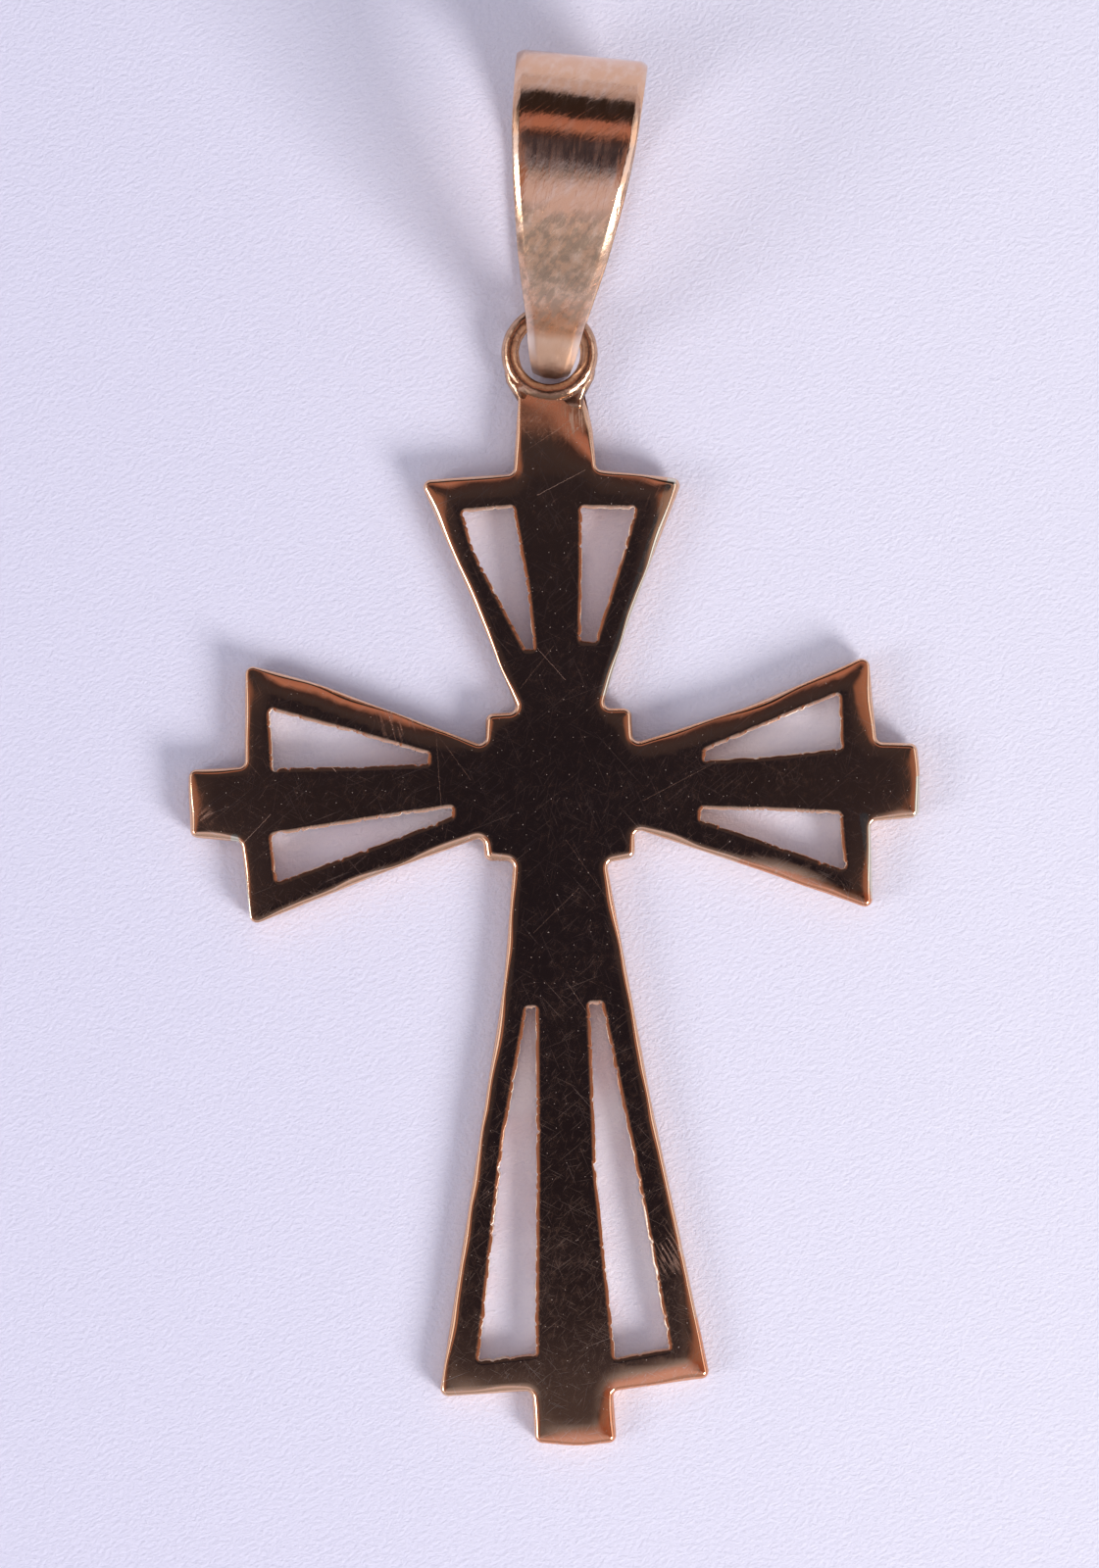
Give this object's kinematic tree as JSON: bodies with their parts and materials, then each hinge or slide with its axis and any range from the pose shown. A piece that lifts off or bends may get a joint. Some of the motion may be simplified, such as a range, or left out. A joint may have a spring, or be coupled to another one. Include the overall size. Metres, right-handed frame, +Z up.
{
  "type": "cross pendant",
  "caption": "Flat pierced cross pendant with flared slotted arms, a soldered wire ring at the top and a tapered strip bail looped through the ring, lying on its back.",
  "frame": {"origin": "middle of the pendant's base as it lies, on the surface under it", "axes": "+Y from the foot of the cross towards the bail, +X towards the right arm as seen from above, +Z up from the surface that it lies on"},
  "size_m": [0.0298, 0.0568, 0.0086],
  "materials": {
    "plate_gold": "polished",
    "bail_gold": "polished"
  },
  "bodies": {
    "root": {"cross_plate": "plate_gold", "bail": "bail_gold"}
  },
  "joints": []
}
